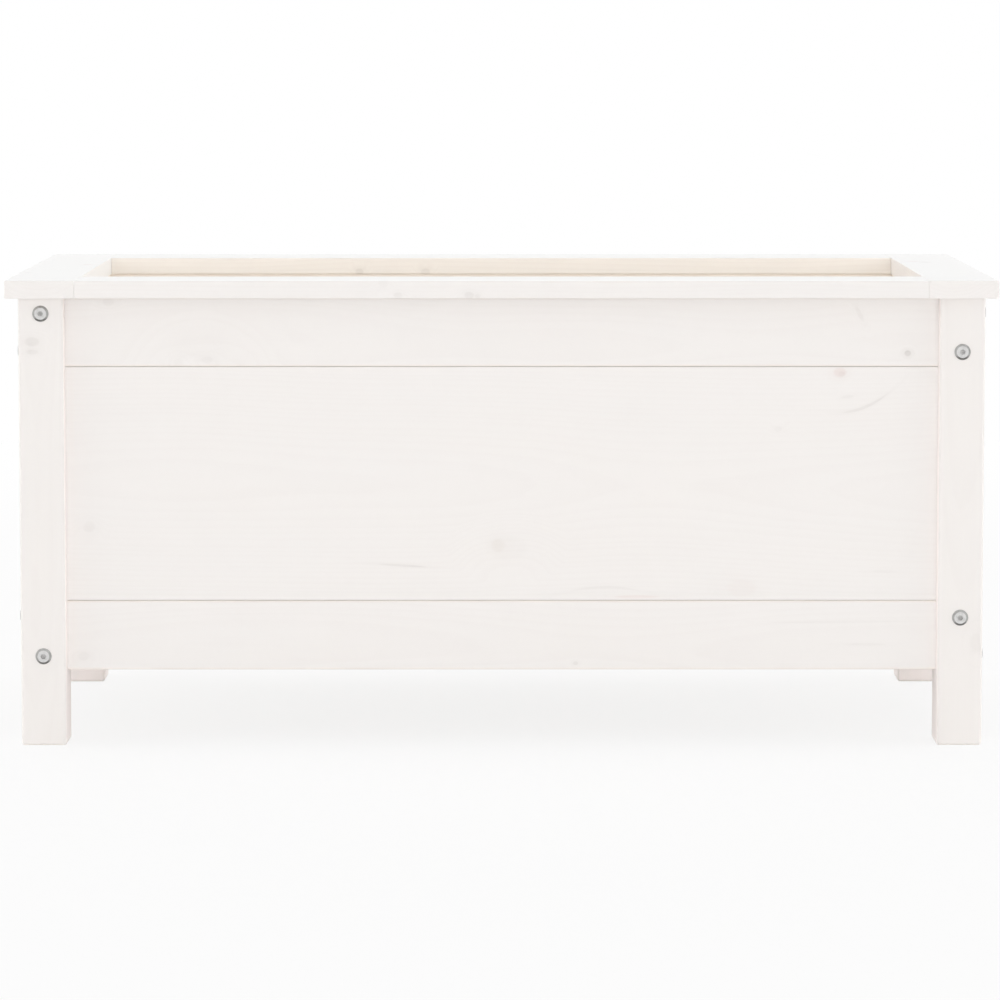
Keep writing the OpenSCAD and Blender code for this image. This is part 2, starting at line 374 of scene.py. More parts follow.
class Texture(Enum):
    """Noise that runs with the grain: cells per metre along and across it, and finer layers."""

    RIPPLE = (9, 70, 2.0)
    FIBRE = (22, 900, 2.0)
    PORE = (70, 2600, 1.0)
    PATCH = (5, 22, 3.0)
    RUB = (55, 240, 2.0)


@dataclass(frozen=True)
class StainedPine:
    """White stain on sawn pine, with its growth rings, fibres, knots and thin arrises.

    Attributes:
        ring: Width of a growth ring.
        spread: How unevenly the rings are spaced, in rings.
        ripple: How far a ring's line wavers.
        knot_bend: How far rings bend round a knot, as a share of half its width.
        pith_aside: How far the pith lies off the middle, as a share of half the board's width.
        pith_below: Least and most depth of the pith under the board, in millimetres.
        wander: How far the pith drifts along the board.
        bends: How often it drifts per metre, across and through the board.
        stain: The stain on the outside.
        fresh: Painted light: a brighter coat on faces of low cover, which lifts the
            shaded faces inside the trough.
        thick: Painted light and sheen: a whiter coat on faces of the highest cover, such as
            the rim's top.
        thin_layer: The cover over which the painted inside light turns into the outside's stain.
        thick_layer: The cover over which that turns into the painted lit coat.
        early: Bare wood between the rings.
        late: Bare wood in a ring's dark line.
        patchiness: How unevenly the stain lies.
        show_through: How far rings and fibres show through it.
        rubbing: How far it is rubbed off the long edges, in spots.
        edge_wear: How much wood shows all along the long edges.
        edge_band: Distances from an edge between which its wear sets in.
        roughness: Roughness of the stain.
        refraction: Its index of refraction.
        relief: Depth of the grain's relief.
    """

    ring: float = 3.4 * MM
    spread: float = 1.6
    ripple: float = 1.6 * MM
    knot_bend: float = 0.9
    pith_aside: float = 0.35
    pith_below: tuple[float, float] = (22, 45)
    wander: float = 26 * MM
    bends: tuple[float, float] = (1.9, 2.6)
    stain: Colour = seen(239.5, 237, 235.5)
    fresh: Colour = seen(255, 252, 247)
    thick: Colour = seen(250, 249.5, 248.5)
    thin_layer: tuple[float, float] = (0.92, 0.94)
    thick_layer: tuple[float, float] = (0.965, 0.985)
    early: Colour = seen(250, 219, 180)
    late: Colour = seen(226, 184, 138)
    patchiness: float = 0.034
    show_through: float = 0.003
    rubbing: float = 0.05
    edge_wear: float = 0.0
    edge_band: tuple[float, float] = (2.6 * MM, 0.3 * MM)
    roughness: float = 0.48
    refraction: float = 1.46
    relief: float = 0.12 * MM

    def make(
        self,
        name: str,
        board: BoardFrame,
        marks: tuple[Mark, ...],
        even_cover: float | None = None,
    ) -> bpy.types.Material:
        """Makes the finish of one board.

        Args:
            name: The board's name, which also seeds how it was sawn.
            board: Where the board lies.
            marks: Its knots and streaks.
            even_cover: How much the stain hides, for a board with nothing painted on it.

        Returns:
            The material.
        """
        chance = random.Random(name)
        material, sheet = fresh_material(f"{name}_stained_pine")
        place = sheet.place()
        along, across, deep = (place[axis] - board.centre[axis] for axis in board.axes)
        seed = chance.uniform(0, 90)

        def texture(kind: Texture, aside: float = seed, below: float = 0.0) -> Signal:
            """One texture, taken from its own place across and through the noise."""
            long, wide, detail = kind.value
            return sheet.noise(along * long, across * wide + aside, deep * wide + below, detail)

        knots = [(mark, self.spot(mark, along, across, deep)) for mark in marks]
        push: Signal | float = 0.0
        for mark, spot in knots:
            if mark.is_knot:
                push = spot.ease(7.0, 0.0) * (mark.width * self.knot_bend * MM) + push

        pith_across = chance.uniform(-self.pith_aside, self.pith_aside) * board.half(1)
        pith_deep = chance.choice((-1, 1)) * (board.half(2) + chance.uniform(*self.pith_below) * MM)
        drift = sheet.noise(along * self.bends[0], seed, 0.0, 1.0) - 0.5
        sink = sheet.noise(along * self.bends[1], seed, 7.0, 1.0) - 0.5
        ripple = texture(Texture.RIPPLE) - 0.5
        side = across - pith_across - drift * self.wander
        depth = deep - pith_deep - sink * self.wander
        radius = (side * side + depth * depth).root() + ripple * self.ripple + push
        uneven = sheet.noise(radius * 130, seed, 3.0, 1.0) - 0.5
        phase = (radius / self.ring + uneven * self.spread).fraction()
        line = phase.ease(0.3, 0.9) * phase.ease(1.0, 0.9)

        fibre = texture(Texture.FIBRE)
        pore = texture(Texture.PORE, 0.0, seed)
        patch = texture(Texture.PATCH) - 0.5
        wood = sheet.blend(line * 0.85, self.early, self.late)
        wood = sheet.blend(fibre.ease(0.35, 0.8) * 0.35, wood, self.late)

        rub = texture(Texture.RUB, 0.0, seed).ease(0.45, 0.75)
        stained = sheet.painted(COVER) if even_cover is None else even_cover
        layer = patch * self.patchiness + stained
        cover = layer - (line * 0.6 + fibre.ease(0.4, 0.85)) * self.show_through
        cover = cover - self.arris(board, across, deep) * (rub * self.rubbing + self.edge_wear)
        # Painted light: a low cover gives the brighter inside coat, for shaded faces inside the trough; the
        # highest cover gives the whiter lit coat, for sheen and top light.
        coat = sheet.blend(layer.ease(*self.thin_layer), self.fresh, self.stain)
        coat = sheet.blend(layer.ease(*self.thick_layer), coat, self.thick)
        colour = sheet.blend(cover, wood, coat)
        bare = (1 - cover) * 3 + 0.85
        for mark, spot in knots:
            core = spot.ease(1.0, 0.25)
            halo = spot.ease(4.5, 0.4) * 0.22
            shown = (core * (rub * 0.4 + 0.8) + halo) * bare * mark.strength
            colour = sheet.blend(shown, colour, mark.tone.value)

        height = fibre * 0.5 + pore * 0.2 - line * 0.25 + patch * 0.6
        sheet.close({
            "Base Color": colour,
            "Roughness": fibre * 0.10 + patch * 0.12 + (self.roughness - 0.05),
            "IOR": self.refraction,
            "Normal": sheet.bump(height, self.relief),
        })
        return material

    def spot(self, mark: Mark, along: Signal, across: Signal, deep: Signal) -> Signal:
        """Measures how far a place is from a mark.

        Args:
            mark: The mark.
            along: The place along the board.
            across: The place across it.
            deep: The place through it.

        Returns:
            The squared distance from the mark's centre, 1 at its edge.
        """
        run = along * 1000 - mark.along
        off = across * 1000 - mark.across
        if mark.rise:
            off = off - run * mark.rise
        if mark.bow:
            off = off - run * run * (mark.bow / mark.length ** 2)
        run = run / mark.length
        off = off / mark.width
        total = run * run + off * off
        if mark.reach:
            level = (deep * 1000 - mark.deep) / mark.reach
            total = total + level * level
        return total

    def arris(self, board: BoardFrame, across: Signal, deep: Signal) -> Signal:
        """1 on the board's long edges, falling to 0 within a few millimetres."""
        gap = (board.half(1) - abs(across)) + (board.half(2) - abs(deep))
        return gap.ease(*self.edge_band)


@dataclass(frozen=True)
class Zinc:
    """Bright zinc plate on steel.

    Attributes:
        clean: The plate where it is smooth.
        dull: The matt plate, and the painted shade and dark reflection on the
        bolts' bevels and sockets.
        roughness: Roughness of the plate.
        relief: Depth of its grit.
        cloud: Clouds in the plate, per metre.
        grit: Grains of grit, per metre.
    """

    clean: Colour = seen(222, 221, 220)
    dull: Colour = seen(120, 119, 116)
    roughness: float = 0.34
    relief: float = 0.01 * MM
    cloud: float = 420
    grit: float = 2600

    def make(self, name: str, even_shine: float | None = None) -> bpy.types.Material:
        """Makes the finish.

        Args:
            name: The material's name.
            even_shine: How clean the plate is, for a piece with nothing painted on it.

        Returns:
            The material.
        """
        material, sheet = fresh_material(name)
        x, y, z = sheet.place()
        cloud = sheet.noise(x * self.cloud, y * self.cloud, z * self.cloud, 3.0)
        grit = sheet.noise(x * self.grit, y * self.grit, z * self.grit)
        shine = sheet.painted(FACE_SHINE) if even_shine is None else even_shine
        # A low shine shows the darker colour: matt plate, and on the bolts painted shade and dark
        # reflection.
        share = cloud.ease(0.35, 0.8) * 0.22 + grit.ease(0.5, 0.9) * 0.08 + (1 - shine) * 0.9
        sheet.close({
            "Base Color": sheet.blend(share, self.clean, self.dull),
            "Metallic": 1.0,
            "Roughness": cloud * 0.12 + (1 - shine) * 0.12 + (self.roughness - 0.06),
            "Normal": sheet.bump(grit, self.relief),
        })
        return material


@dataclass(frozen=True)
class Beech:
    """Bare turned beech, for the dowels.

    Attributes:
        pale: The wood.
        dark: Its short flecks.
        relief: Depth of the flecks.
    """

    pale: Colour = seen(222, 190, 148)
    dark: Colour = seen(186, 146, 102)
    relief: float = 0.05 * MM

    def make(self, name: str) -> bpy.types.Material:
        """Makes the finish.

        Args:
            name: The material's name.

        Returns:
            The material.
        """
        material, sheet = fresh_material(name)
        x, y, z = sheet.place()
        flecks = sheet.noise(x * 240, y * 240, z * 1100)
        cloud = sheet.noise(x * 40, y * 40, z * 40)
        sheet.close({
            "Base Color": sheet.blend(flecks.ease(0.5, 0.72) * 0.7 + cloud * 0.2, self.pale, self.dark),
            "Roughness": flecks * 0.15 + 0.5,
            "Normal": sheet.bump(flecks, self.relief),
        })
        return material


# --- Shaping ---


class Part(Enum):
    """What is picked on a piece while editing it."""

    EDGES = "EDGE"
    FACES = "FACE"


class Workpiece:
    """One piece on the bench: a primitive that is shaped until it is finished."""

    def __init__(self, body: bpy.types.Object) -> None:
        """Takes an object with its origin at the world's."""
        self.body = body

    @classmethod
    def block(cls, name: str, low: Vector, high: Vector) -> "Workpiece":
        """Adds a cuboid.

        Args:
            name: The piece's name.
            low: Its lowest corner.
            high: Its highest corner.

        Returns:
            The piece.
        """
        cls.deselect()
        bpy.ops.mesh.primitive_cube_add(size=1.0, location=(low + high) / 2, scale=high - low)
        return cls.taken_up(name)

    @classmethod
    def rod(
        cls,
        name: str,
        radius: float,
        start: float,
        end: float,
        sides: int = 40,
        upper: float | None = None,
    ) -> "Workpiece":
        """Adds a cylinder or a cone on the Z axis.

        Args:
            name: The piece's name.
            radius: Its radius, or a cone's at its lower end.
            start: Height of its lower end.
            end: Height of its upper end.
            sides: How many sides stand for its round.
            upper: A cone's radius at its upper end.

        Returns:
            The piece.
        """
        cls.deselect()
        bpy.ops.mesh.primitive_cone_add(
            vertices=sides,
            radius1=radius,
            radius2=radius if upper is None else upper,
            depth=end - start,
            location=(0, 0, (start + end) / 2),
        )
        return cls.taken_up(name)

    @classmethod
    def taken_up(cls, name: str) -> "Workpiece":
        """Names the primitive just added and puts its place into its mesh.

        Args:
            name: The piece's name.

        Returns:
            The piece.
        """
        body = bpy.context.active_object
        body.name = name
        body.data.name = name
        bpy.ops.object.transform_apply(location=True, rotation=True, scale=True)
        return cls(body)

    @staticmethod
    def deselect() -> None:
        """Leaves nothing selected."""
        bpy.ops.object.select_all(action="DESELECT")

    def hold(self) -> None:
        """Makes this the only selected and the active piece."""
        self.deselect()
        self.body.select_set(True)
        bpy.context.view_layer.objects.active = self.body

    @contextmanager
    def editing(self) -> Iterator[None]:
        """Opens the piece in edit mode, with nothing selected.

        Returns:
            A context, at whose end the piece is closed again.
        """
        self.hold()
        bpy.ops.object.mode_set(mode="EDIT")
        bpy.ops.mesh.select_all(action="DESELECT")
        yield
        bpy.ops.object.mode_set(mode="OBJECT")

    def pick(self, part: Part, test: PlaceTest) -> None:
        """Selects edges or faces while editing.

        Args:
            part: Which of the two.
            test: Takes the middle of one and an edge's direction or a face's normal.
        """
        bpy.ops.mesh.select_mode(type=part.value)
        bpy.ops.mesh.select_all(action="DESELECT")
        shape = bmesh.from_edit_mesh(self.body.data)
        if part is Part.EDGES:
            for edge in shape.edges:
                start, end = (corner.co for corner in edge.verts)
                edge.select_set(test((start + end) / 2, (end - start).normalized()))
        else:
            for face in shape.faces:
                face.select_set(test(face.calc_center_median(), face.normal))
        bmesh.update_edit_mesh(self.body.data)

    def ease_edges(self, test: PlaceTest, width: float, steps: int) -> None:
        """Rounds edges.

        Args:
            test: Which edges, as in pick.
            width: Radius of the rounding.
            steps: How many strips make it.
        """
        with self.editing():
            self.pick(Part.EDGES, test)
            bpy.ops.mesh.bevel(
                offset_type="OFFSET",
                offset=width,
                segments=steps,
                affect="EDGES",
                clamp_overlap=False,
            )

    def slice(self, point: Vector, normal: Vector) -> None:
        """Cuts the faces along a plane, while editing, and keeps both sides."""
        bpy.ops.mesh.select_all(action="SELECT")
        bpy.ops.mesh.bisect(plane_co=point, plane_no=normal)

    def pull(self, test: PlaceTest, offset: Vector, scale: float = 1.0) -> None:
        """Extrudes faces while editing.

        Args:
            test: Which faces, as in pick.
            offset: How far they move.
            scale: How their size changes.
        """
        self.pick(Part.FACES, test)
        bpy.ops.mesh.extrude_region_move(TRANSFORM_OT_translate={"value": offset})
        if scale != 1.0:
            bpy.ops.transform.resize(value=(scale, scale, scale))

    def inset(self, test: PlaceTest, width: float) -> None:
        """Insets the faces that a test picks, while editing."""
        self.pick(Part.FACES, test)
        bpy.ops.mesh.inset(thickness=width, depth=0)

    def cut(self, tool: "Workpiece") -> None:
        """Cuts a tool's shape out of the piece and puts the tool away.

        Args:
            tool: A closed piece.
        """
        self.hold()
        cutter = self.body.modifiers.new("cut", "BOOLEAN")
        cutter.operation = "DIFFERENCE"
        cutter.solver = "EXACT"
        cutter.object = tool.body
        bpy.ops.object.modifier_apply(modifier=cutter.name)
        tool.put_away()

    def drill(self, place: Matrix, radius: float, start: float, end: float) -> None:
        """Drills a round hole along a frame's Z axis, from its start to its end there."""
        self.cut(Workpiece.rod("drill", radius, start, end).moved(place))

    def moved(self, place: Matrix) -> "Workpiece":
        """Moves the mesh to a frame and gives the same piece back."""
        self.body.data.transform(place)
        return self

    def put_away(self) -> None:
        """Deletes the piece."""
        mesh = self.body.data
        bpy.data.objects.remove(self.body)
        bpy.data.meshes.remove(mesh)

    def repeated(self, name: str, places: list[Matrix]) -> "Workpiece":
        """Copies the piece to several places, each copy with its own mesh, as one group.

        Args:
            name: The group's name.
            places: A frame for each copy.

        Returns:
            The group. The piece itself is put away.
        """
        copies = []
        for place in places:
            copy = self.body.copy()
            copy.data = self.body.data.copy()
            bpy.context.scene.collection.objects.link(copy)
            copy.data.transform(place)
            copies.append(copy)
        self.put_away()
        self.deselect()
        for copy in copies:
            copy.select_set(True)
        bpy.context.view_layer.objects.active = copies[0]
        bpy.ops.object.join()
        group = Workpiece(bpy.context.active_object)
        group.body.name = name
        group.body.data.name = name
        return group

    def smooth(self, angle: float) -> None:
        """Shades rounds smooth and leaves flats flat.

        Args:
            angle: Sharpest bend in degrees that still shades smooth.
        """
        self.hold()
        bpy.ops.object.shade_smooth_by_angle(angle=math.radians(angle))
        even = self.body.modifiers.new("even", "WEIGHTED_NORMAL")
        even.keep_sharp = True
        bpy.ops.object.modifier_apply(modifier=even.name)

    def paint(self, name: str, value: Callable[[Vector, Vector], float]) -> None:
        """Paints an attribute face by face.

        Args:
            name: The attribute's name.
            value: Takes a face's middle and normal, and gives its value.
        """
        mesh = self.body.data
        layer = mesh.attributes.new(name, "FLOAT", "FACE")
        levels = [value(face.center, face.normal) for face in mesh.polygons]
        layer.data.foreach_set("value", levels)

    def repaint(self, name: str, value: Callable[[float, Vector], float]) -> None:
        """Changes a painted attribute face by face.

        Args:
            name: The attribute's name.
            value: Takes a face's value and normal, and gives its new value.
        """
        mesh = self.body.data
        layer = mesh.attributes[name]
        levels = [value(item.value, face.normal) for item, face in zip(layer.data, mesh.polygons)]
        layer.data.foreach_set("value", levels)

    def dress(self, material: bpy.types.Material, slot: str, node: str) -> None:
        """Finishes the piece and puts it in the place of its node.

        Args:
            material: Its finish.
            slot: Not used.
            node: The node that it stands for.
        """
        self.body.data.materials.clear()
        self.body.data.materials.append(material)
        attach(self.body, BODY)
        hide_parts(node)
        LOG.info("%s: %d faces", self.body.name, len(self.body.data.polygons))


# --- The trough's layout ---


class Side(Enum):
    """A wall of the trough, numbered the way round that the corners follow."""

    FRONT = 0
    RIGHT = 1
    BACK = 2
    LEFT = 3

    @property
    def label(self) -> str:
        """The wall's name in the frame."""
        return self.name.lower()

    @property
    def before(self) -> "Side":
        """The wall whose right end stands at this one's left end."""
        return Side((self.value - 1) % len(Side))

    @property
    def is_long(self) -> bool:
        """Whether the wall runs along the width."""
        return self.value % 2 == 0

    @property
    def run(self) -> Vector:
        """The axis along the wall."""
        return Vector((1, 0, 0)) if self.is_long else Vector((0, 1, 0))

    @property
    def thickness(self) -> Vector:
        """The axis through the wall."""
        return Vector((0, 1, 0)) if self.is_long else Vector((1, 0, 0))

    @property
    def outward(self) -> Vector:
        """The direction that the wall faces."""
        return turned(90 * self.value, "Z") @ Vector((0, -1, 0))


class End(Enum):
    """An end of a wall, as seen from outside."""

    LEFT = -1
    RIGHT = 1


class Row(Enum):
    """A rail of a wall."""

    BOTTOM = "bottom_rail"
    TOP = "top_rail"


# The leg at each wall's left end.
CORNERS = {
    Side.FRONT: "front_left",
    Side.RIGHT: "front_right",
    Side.BACK: "back_right",
    Side.LEFT: "back_left",
}


@dataclass(frozen=True)
class Layout:
    """The trough's main places, read from the frame.

    Attributes:
        half_width: Half the width over the legs.
        half_depth: Half the depth over the legs.
        leg: Side of a leg.
        wall_middle: Middle of a wall, from the legs' outer faces.
        wall_inner: Inner face of a wall, from the same place.
    """

    half_width: float
    half_depth: float
    leg: float
    wall_middle: float
    wall_inner: float

    @classmethod
    def read(cls) -> "Layout":
        """Reads the layout off the frame.

        Returns:
            The layout, from the front left leg and the front top rail.
        """
        low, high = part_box("leg_front_left")
        rail_low, rail_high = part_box("front_top_rail")
        return cls(
            half_width=-low.x,
            half_depth=-low.y,
            leg=high.x - low.x,
            wall_middle=(rail_low.y + rail_high.y) / 2 - low.y,
            wall_inner=rail_high.y - low.y,
        )

    def wall_length(self, side: Side) -> float:
        """Length of a wall between its legs."""
        half = self.half_width if side.is_long else self.half_depth
        return 2 * (half - self.leg)

    def on_wall(self, side: Side, x: float, y: float, z: float) -> Matrix:
        """A frame on a wall, with X to the right as seen from outside, Y inwards and Z up."""
        half = self.half_depth if side.is_long else self.half_width
        return turned(90 * side.value, "Z") @ shifted(x, y - half, z)


@dataclass(frozen=True)
class Joinery:
    """Sizes and places of what joins rails to legs and rim boards to each other.

    Attributes:
        layout: The trough's main places.
        edge: Distance of bolts and dowels from a rail's edges.
        bolt: Radius of a bolt's bore.
        bolt_length: Length of a bolt under its head.
        dowel: Radius of a dowel's hole.
        dowel_in_leg: Depth of that hole in a leg.
        dowel_in_rail: Depth of it in a rail.
        nut: Radius of a barrel nut's bore.
        nut_set: Distance of the nut from the rail's end.
        nut_depth: Depth of its bore.
        rim_dowel: Radius of a rim dowel's hole.
        rim_dowel_depth: Depth of it on each side of the joint.
        rim_dowel_step: Half the distance between the two dowels of a rim joint.
    """

    layout: Layout
    edge: float = 13 * MM
    bolt: float = 3.25 * MM
    bolt_length: float = 70 * MM
    dowel: float = 4.1 * MM
    dowel_in_leg: float = 12 * MM
    dowel_in_rail: float = 19 * MM
    nut: float = 5.1 * MM
    nut_set: float = 27 * MM
    nut_depth: float = 14 * MM
    rim_dowel: float = 3.1 * MM
    rim_dowel_depth: float = 15 * MM
    rim_dowel_step: float = 14 * MM

    def heights(self, side: Side, row: Row) -> dict[End, tuple[float, float]]:
        """Finds the heights of a rail's bolts and dowels.

        Args:
            side: The wall.
            row: The rail.

        Returns:
            For each end, the bolt's height and the dowel's.
        """
        low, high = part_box(f"{side.label}_{row.value}")
        lower = low.z + self.edge
        upper = high.z - self.edge
        outer, inner = (upper, lower) if row is Row.TOP else (lower, upper)
        return {End.LEFT: (inner, outer), End.RIGHT: (outer, inner)}

    def into_wall(self, side: Side, end: End, x: float, z: float) -> Matrix:
        """A frame in the middle of a wall's thickness, with Z into the wall from its end."""
        place = self.layout.on_wall(side, end.value * x, self.layout.wall_middle, z)
        return place @ turned(-90 * end.value, "Y")

    def bolt_place(self, side: Side, row: Row, end: End) -> Matrix:
        """A bolt's frame on the leg's outer face, with Z into the wall."""
        reach = self.layout.wall_length(side) / 2 + self.layout.leg
        return self.into_wall(side, end, reach, self.heights(side, row)[end][0])

    def dowel_place(self, side: Side, row: Row, end: End) -> Matrix:
        """A dowel's frame on the rail's end, with Z into the wall."""
        reach = self.layout.wall_length(side) / 2
        return self.into_wall(side, end, reach, self.heights(side, row)[end][1])

    def nut_place(self, side: Side, row: Row, end: End) -> Matrix:
        """Finds where a barrel nut goes in.

        Args:
            side: The wall.
            row: The rail.
            end: The rail's end.

        Returns:
            A frame on the rail's inner face, with Z into the rail.
        """
        reach = end.value * (self.layout.wall_length(side) / 2 - self.nut_set)
        height = self.heights(side, row)[end][0]
        place = self.layout.on_wall(side, reach, self.layout.wall_inner, height)
        return place @ turned(90, "X")

    def rim_dowel_places(self) -> list[Matrix]:
        """Finds where the rim's dowels go in.

        Returns:
            Frames on the ends of the front and back boards, with Z into the board.
        """
        places = []
        for side in (Side.FRONT, Side.BACK):
            low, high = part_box(f"rim_{side.label}")
            middle = (low + high) / 2
            for end in End:
                x = end.value * (high.x - low.x) / 2
                for step in (-self.rim_dowel_step, self.rim_dowel_step):
                    spot = shifted(x, middle.y + step, middle.z)
                    places.append(spot @ turned(-90 * end.value, "Y"))
        return places


# --- Boards ---

# Knots and streaks seen on the front, by the board that has them.
MARKS: dict[str, tuple[Mark, ...]] = {
    "rim_front": (
        Mark(-98, -28, 5, 6, 0.05, deep=6, reach=5),
        Mark(-86, -29, 4.5, 6, 0.08, deep=-4.6, reach=3),
        Mark(-27, -29, 5, 7, 0.09, deep=-4.6, reach=3.5),
        Mark(-20, -29, 3, 5, 0.06, deep=-5.4, reach=2.5),
        Mark(214, 6, 8, 6, 0.05),
    ),
    "rim_back": (
        Mark(-129, -28, 4.5, 6, 0.11, deep=-5.5, reach=4),
        Mark(-69, -28, 5.5, 6, 0.10, deep=-5.5, reach=4),
        Mark(180, -8, 7, 6, 0.05),
    ),
    "front_top_rail": (
        Mark(-328, 25, 6, 4, 0.05),
        Mark(-246, -23.5, 6, 3.5, 0.05),
        Mark(-270, -26, 5, 5, 0.035),
        Mark(-250, -13, 30, 13, 0.018),
        Mark(298.5, 15, 4.5, 4.5, 0.06, rise=-1.4),
        Mark(339, -18, 3.4, 3, 0.2),
    ),
    "front_panel": (
        Mark(282.5, 93.5, 6.5, 4.8, 0.13, MarkTone.RESIN),
        Mark(284, 92, 3.4, 2.8, 0.06),
        Mark(304, 64.5, 23, 1.6, 0.09, rise=0.42, bow=5),
        Mark(289, 73, 7, 1.6, 0.06, rise=0.1),
        Mark(231, 46, 4, 3, 0.04),
        Mark(-3, -52, 7, 7, 0.05, MarkTone.GUM),
        Mark(5, -54, 20, 13, 0.022),
        Mark(-345.5, -36.5, 6, 5.5, 0.05),
        Mark(-83, -69, 23, 1.2, 0.10, rise=-0.06),
        Mark(87, -87.5, 34, 1.5, 0.05, bow=-4),
        Mark(113, -95.5, 22, 1.8, 0.10, MarkTone.RESIN),
        Mark(201, -88, 15, 9, 0.035, MarkTone.RESIN),
        Mark(321, -74, 14, 1.5, 0.03),
    ),
    "front_bottom_rail": (
        Mark(-351, -18, 6, 4.5, 0.06),
        Mark(62, -24, 2.5, 2, 0.10),
        Mark(286, 11, 70, 1.2, 0.035, rise=0.01),
        Mark(305, -8, 20, 1.4, 0.045),
    ),
    "leg_front_left": (
        Mark(151.5, -7.4, 4.8, 7.2, 0.11),
        Mark(143, -7.4, 2.4, 6.4, 0.08),
    ),
    "leg_front_right": (Mark(-101.5, 13.5, 10, 6, 0.05),),
}

# Made-up knots to a square metre, counted over a quarter of a board's face.
KNOT_DENSITY = 90


def chance_marks(name: str, board: BoardFrame) -> tuple[Mark, ...]:
    """Makes up a few knots for a board whose own aren't seen.

    Args:
        name: The board's name, which seeds them.
        board: Where it lies.

    Returns:
        The knots.
    """
    chance = random.Random(f"{name} knots")
    marks = []
    for _ in range(1 + round(board.half(0) * board.half(1) * KNOT_DENSITY)):
        size = chance.uniform(2.5, 6.5)
        marks.append(Mark(
            along=chance.uniform(-0.9, 0.9) * board.half(0) / MM,
            across=chance.uniform(-0.8, 0.8) * board.half(1) / MM,
            length=size * chance.uniform(1.0, 1.5),
            width=size,
            strength=chance.uniform(0.04, 0.12),
            tone=chance.choice((MarkTone.KNOT, MarkTone.KNOT, MarkTone.RESIN)),
        ))
    return tuple(marks)


@dataclass(frozen=True)
class Cover:
    """How much of the wood the stain hides on each kind of face.

    Attributes:
        outside: Faces that are seen from outside.
        top: Faces that look up; where it is 1, they take the whiter lit coat, painted light and sheen.
        inside: Faces towards the soil; a low cover shows more bare pine, partly thin stain and partly
            painted warm bounce light, and takes the brighter inside coat, painted light.
        ends: End grain.
    """

    outside: float = 0.955
    top: float = 0.955
    inside: float = 0.86
    ends: float = 0.90


@dataclass(frozen=True)
class Timber:
    """What all boards share: their finish and how they are dressed.

    Attributes:
        finish: The stained pine.
        cover: How much the stain hides.
        slot: A material slot's name, which is handed on to dress.
    """

    finish: StainedPine = StainedPine()
    cover: Cover = Cover()
    slot: str = "white_pine"

    def dress(self, piece: Workpiece, node: str, inward: PlaceTest) -> None:
        """Paints the stain's cover on a board and gives it its finish.

        Args:
            piece: The board.
            node: The node that it stands for.
            inward: Takes a face's middle and normal, and says whether it faces the soil.
        """
        board = BoardFrame.of(node)

        def level(middle: Vector, normal: Vector) -> float:
            """The stain's cover on one face.

            Args:
                middle: The face's middle.
                normal: Its normal.

            Returns:
                The cover.
            """
            if abs(normal.dot(board.grain)) > 0.7:
                return self.cover.ends
            if normal.z > 0.7:
                return self.cover.top
            return self.cover.inside if inward(middle, normal) else self.cover.outside

        piece.smooth(40)
        # The cover also picks the painted light: the brighter inside coat where it is low, the whiter lit
        # coat where it is highest.
        piece.paint(COVER, level)
        marks = MARKS.get(node) or chance_marks(node, board)
        piece.dress(self.finish.make(node, board, marks), self.slot, node)


# --- Sub-assemblies ---


@dataclass(frozen=True)
class Legs:
    """Four square legs.

    Attributes:
        joinery: The bolts and dowels that enter them.
        timber: Their finish; the inward faces, in shade under the trough, take a brighter and warmer
        lit coat: painted bounce light.
        rounding: Radius of their edges and feet.
        inward: Product of a face's normal and its place, along the width and along the depth,
            beyond which it looks inwards.
    """

    joinery: Joinery
    # Painted bounce light: the inward faces take the brighter, warmer lit coat.
    timber: Timber = Timber(
        finish=StainedPine(stain=seen(238.5, 235.5, 233.5), thick=seen(254, 246, 243.5)),
        cover=Cover(inside=0.985),
    )
    rounding: float = 2.5 * MM
    inward: tuple[float, float] = (0.3, 0.13)

    def build(self) -> None:
        """Makes the four legs."""
        for side in Side:
            self.leg(side)

    def leg(self, side: Side) -> None:
        """Makes one leg.

        Args:
            side: The wall that has it at its left end.
        """
        node = f"leg_{CORNERS[side]}"
        low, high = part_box(node)
        piece = Workpiece.block(f"{node}_post", low, high)
        piece.ease_edges(lambda middle, direction: middle.z < high.z - MM, self.rounding, 5)
        joinery = self.joinery
        through = joinery.layout.leg + 2 * MM
        for row in Row:
            for wall, end in ((side, End.LEFT), (side.before, End.RIGHT)):
                piece.drill(joinery.bolt_place(wall, row, end), joinery.bolt, -MM, through)
                piece.drill(joinery.dowel_place(wall, row, end), joinery.dowel, -joinery.dowel_in_leg, MM)
        self.timber.dress(piece, node, self.faces_in)

    def faces_in(self, middle: Vector, normal: Vector) -> bool:
        """Whether a face looks back over the trough's width or depth."""
        return normal.x * middle.x < -self.inward[0] or normal.y * middle.y < -self.inward[1]


